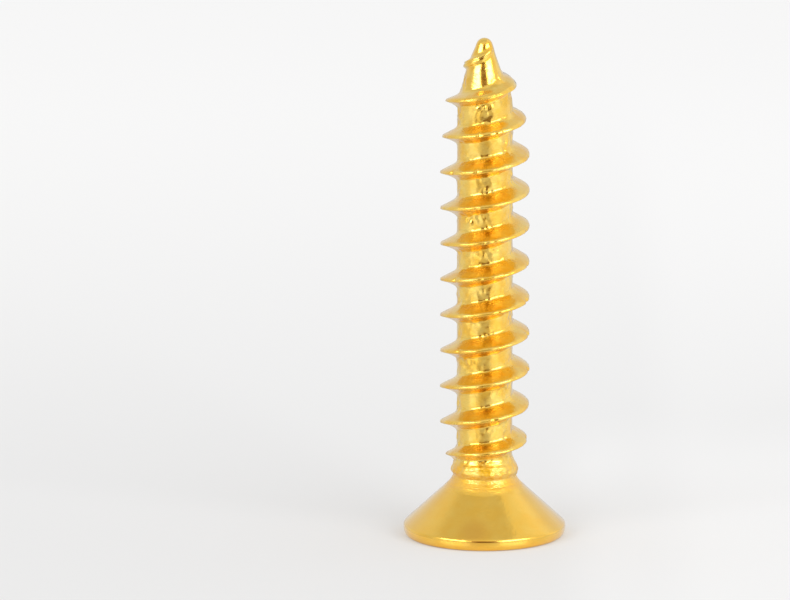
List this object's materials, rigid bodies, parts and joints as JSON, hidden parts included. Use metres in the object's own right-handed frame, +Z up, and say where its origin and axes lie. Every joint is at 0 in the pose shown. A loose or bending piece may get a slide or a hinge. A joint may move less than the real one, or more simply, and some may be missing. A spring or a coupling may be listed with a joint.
{
  "type": "self-tapping screw",
  "caption": "Countersunk self-tapping screw with a cross recess, a coarse right-hand thread run almost up to the head and a sharp tapered point.",
  "frame": {"origin": "middle of the flat of the head, which the screw stands on", "axes": "+Z up the screw's axis, from the flat of the head to the point; +X and +Y along the two slots of the cross recess"},
  "size_m": [0.0064, 0.0064, 0.0196],
  "materials": {
    "gold_plating": "bright yellow plating, polished by the forming dies, with faint rolling marks between the threads"
  },
  "bodies": {
    "root": {"screw": "gold_plating"}
  },
  "joints": []
}
